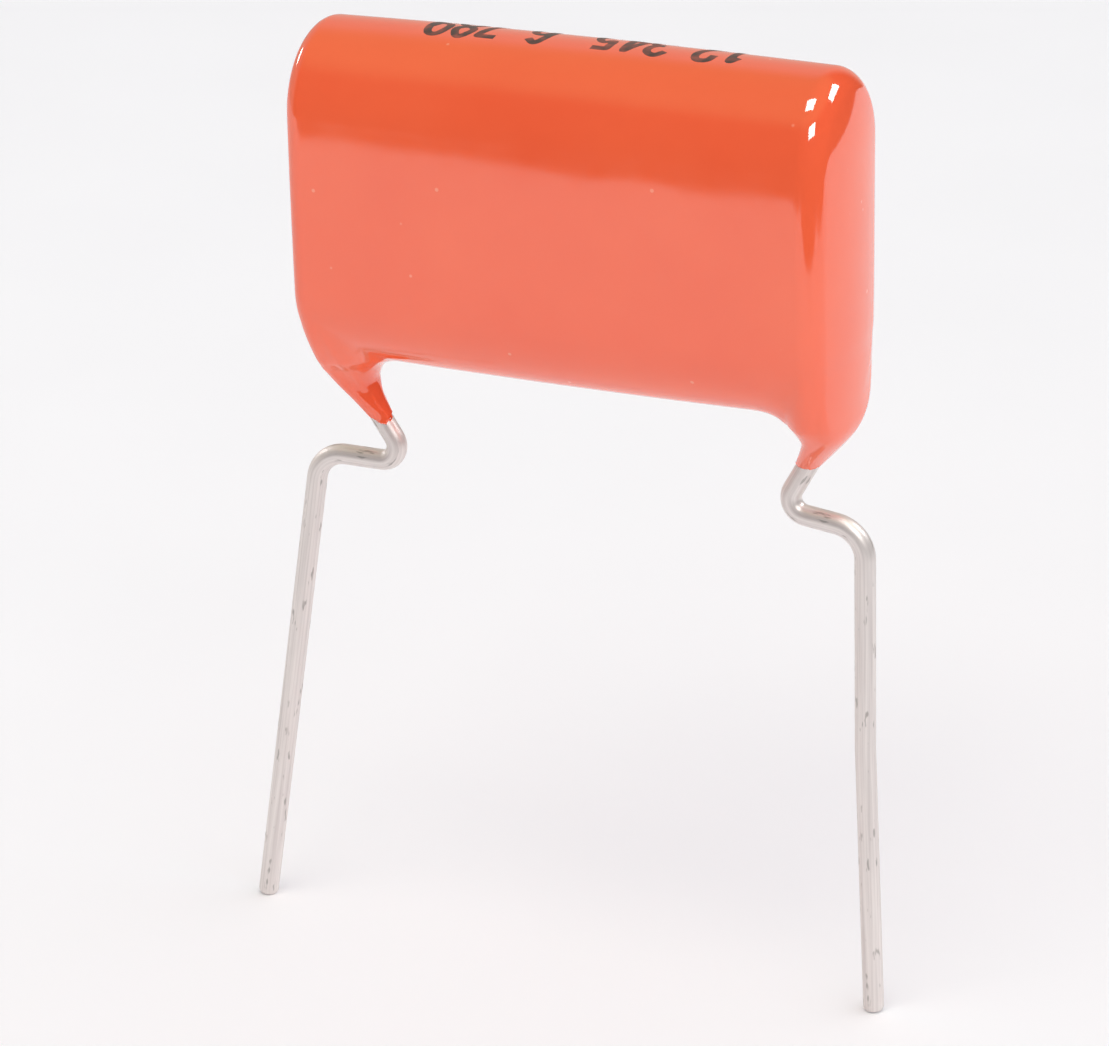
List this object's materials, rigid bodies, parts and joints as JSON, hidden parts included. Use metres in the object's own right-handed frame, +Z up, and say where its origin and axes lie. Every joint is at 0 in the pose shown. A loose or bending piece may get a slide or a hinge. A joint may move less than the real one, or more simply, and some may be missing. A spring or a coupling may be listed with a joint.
{
  "type": "film capacitor",
  "caption": "Epoxy-dipped radial film capacitor: flat rounded body with coat skirts down its kinked tinned leads, which stand it off a circuit board.",
  "frame": {"origin": "on the top face of the board that the kinks stand on, midway between the two leads", "axes": "+Z up out of the board, +X from the left lead to the right lead, +Y from the front face to the back face"},
  "size_m": [0.027, 0.0066, 0.0372],
  "materials": {
    "epoxy": "glossy dipped epoxy, orange",
    "film": "satin metallised film, seen on the winding's edge",
    "zinc": "matte sprayed zinc",
    "tinned_wire": "bright drawn tin with faint draw lines"
  },
  "bodies": {
    "root": {"epoxy_coat": "epoxy", "film_winding": "film", "end_spray_left": "zinc", "end_spray_right": "zinc", "lead_left": "tinned_wire", "lead_right": "tinned_wire"}
  },
  "joints": []
}
